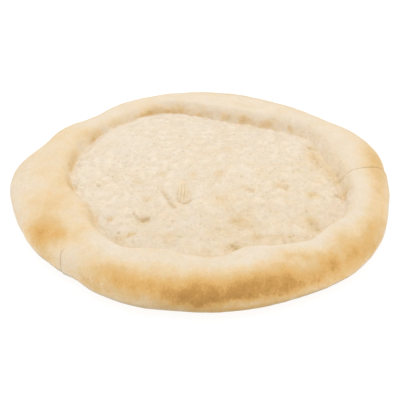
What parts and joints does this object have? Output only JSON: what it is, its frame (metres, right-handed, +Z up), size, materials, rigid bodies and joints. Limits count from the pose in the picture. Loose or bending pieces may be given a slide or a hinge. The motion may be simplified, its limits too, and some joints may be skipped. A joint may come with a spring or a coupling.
{
  "type": "pizza base",
  "caption": "Round par-baked dough base for pizza, with a rolled, raised edge around a slightly puffed crumb and a flat underside; plain, without topping.",
  "frame": {"origin": "middle of the object's box, on the flat underside", "axes": "+Z up through the top of the dough, -Y toward the browned front of the edge as pictured, +X to the right"},
  "size_m": [0.2824, 0.2798, 0.0269],
  "materials": {
    "baked_dough": "matt par-baked wheat dough: pale cream crumb, golden to light brown on the lower outside of the edge"
  },
  "bodies": {
    "root": {"pizza_base": "baked_dough"}
  },
  "joints": []
}
